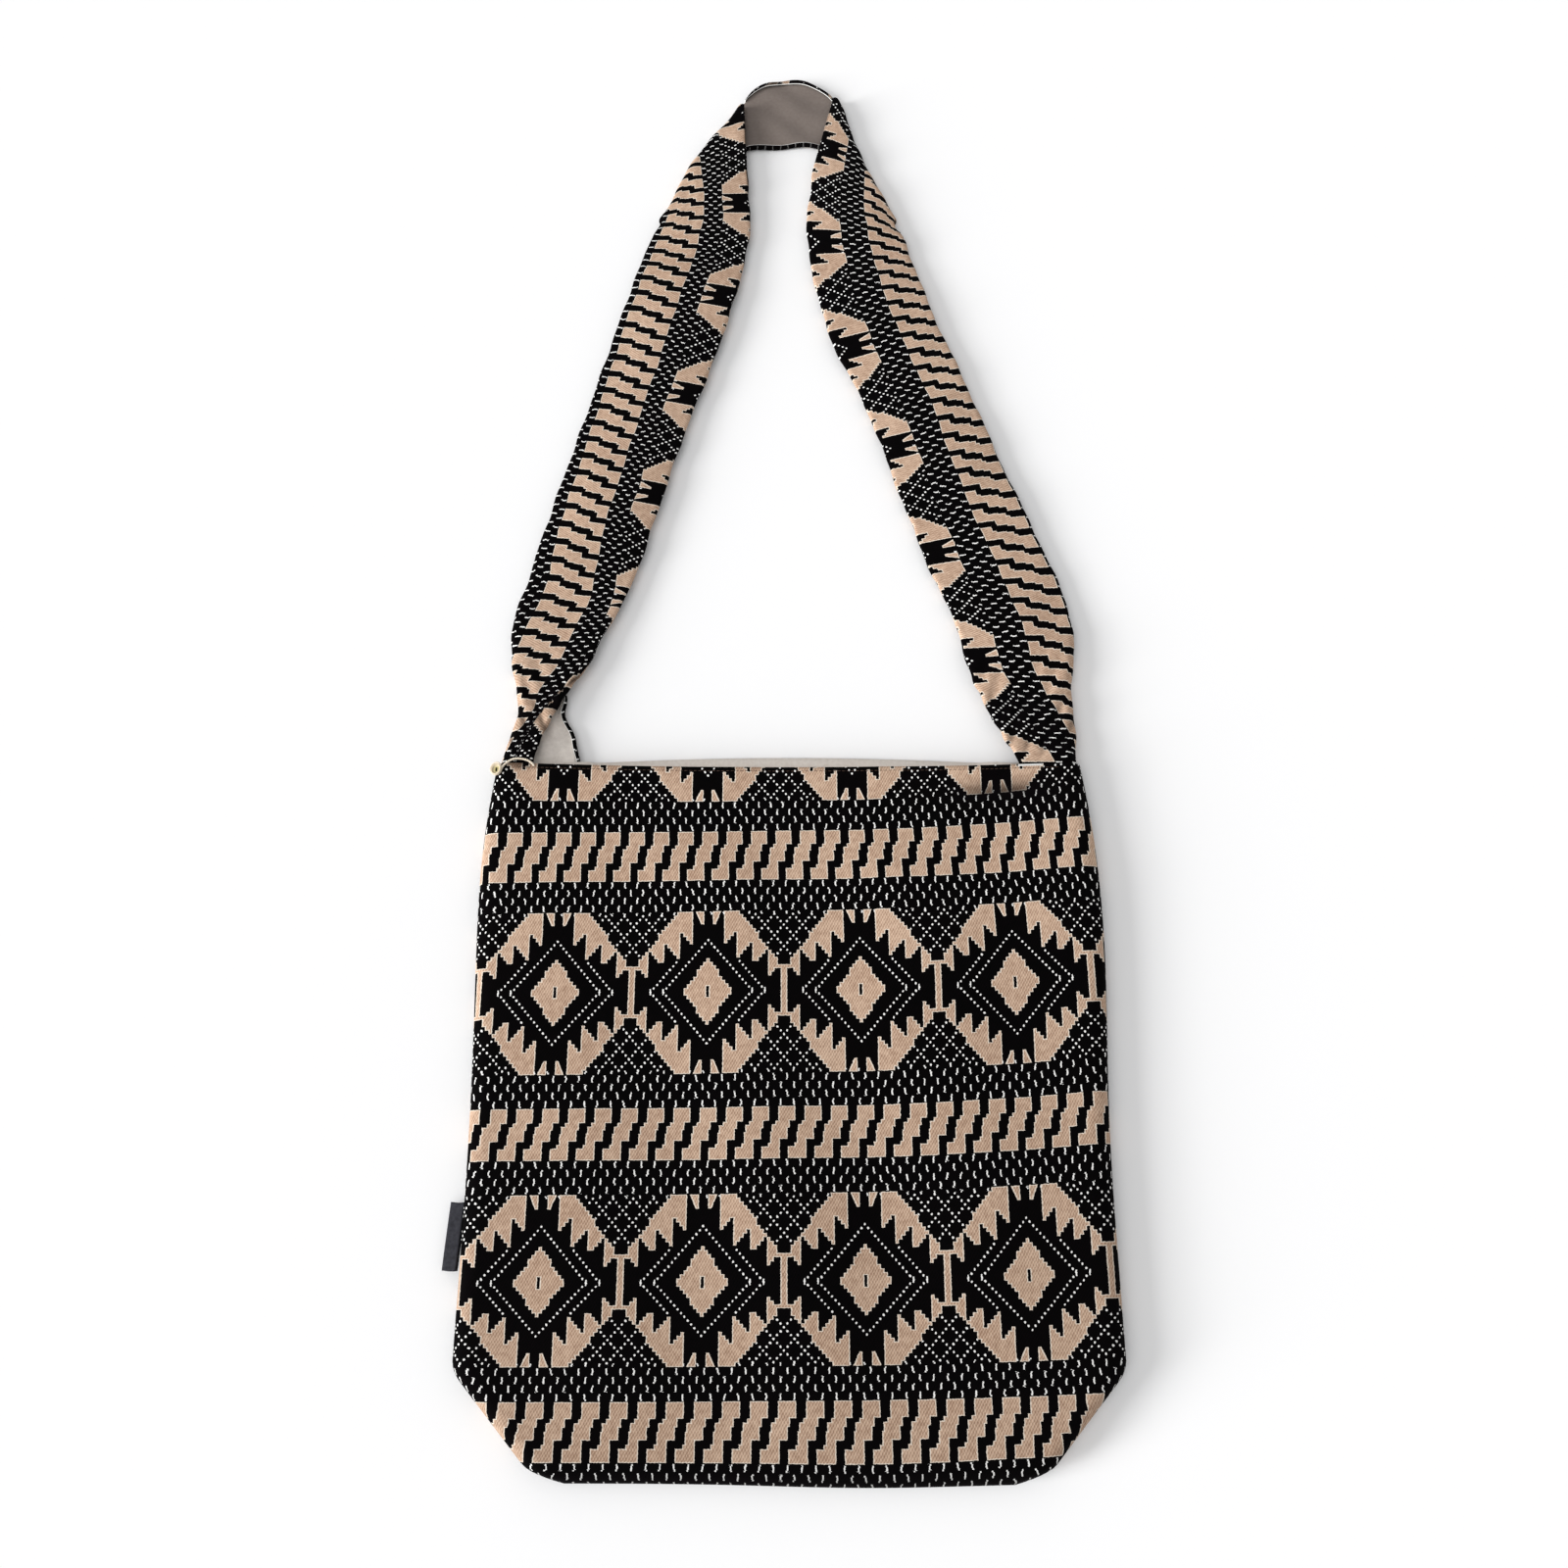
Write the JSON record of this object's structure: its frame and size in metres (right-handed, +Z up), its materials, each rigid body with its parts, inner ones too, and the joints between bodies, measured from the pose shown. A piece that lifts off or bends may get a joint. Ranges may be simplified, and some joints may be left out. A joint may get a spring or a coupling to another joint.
{
  "type": "sling bag",
  "caption": "Flat-laid woven sling bag with a patterned jacquard shell, plain lining, boxed base corners and one wide shoulder strap.",
  "frame": {"origin": "middle of the whole outline, bag and strap, on the surface that the back panel lies on", "axes": "+Z up out of the front panel, +Y from the base towards the top of the strap, +X to the right of the front panel"},
  "size_m": [0.3946, 1.011, 0.0205],
  "materials": {
    "jacquard": "woven cotton jacquard, black ground with tan figures and off-white dashes",
    "lining": "plain woven off-white cotton",
    "strap_backing": "plain woven greige cotton",
    "label": "charcoal woven tape, blank",
    "button": "cream button with a raised rim",
    "cord": "cream twisted cord"
  },
  "bodies": {
    "root": {"front_panel": "jacquard", "back_panel": "jacquard", "front_lining": "lining", "back_lining": "lining", "strap_face": "jacquard", "strap_backing": "strap_backing", "side_label": "label", "corner_button": "button", "button_loop": "cord"}
  },
  "joints": []
}
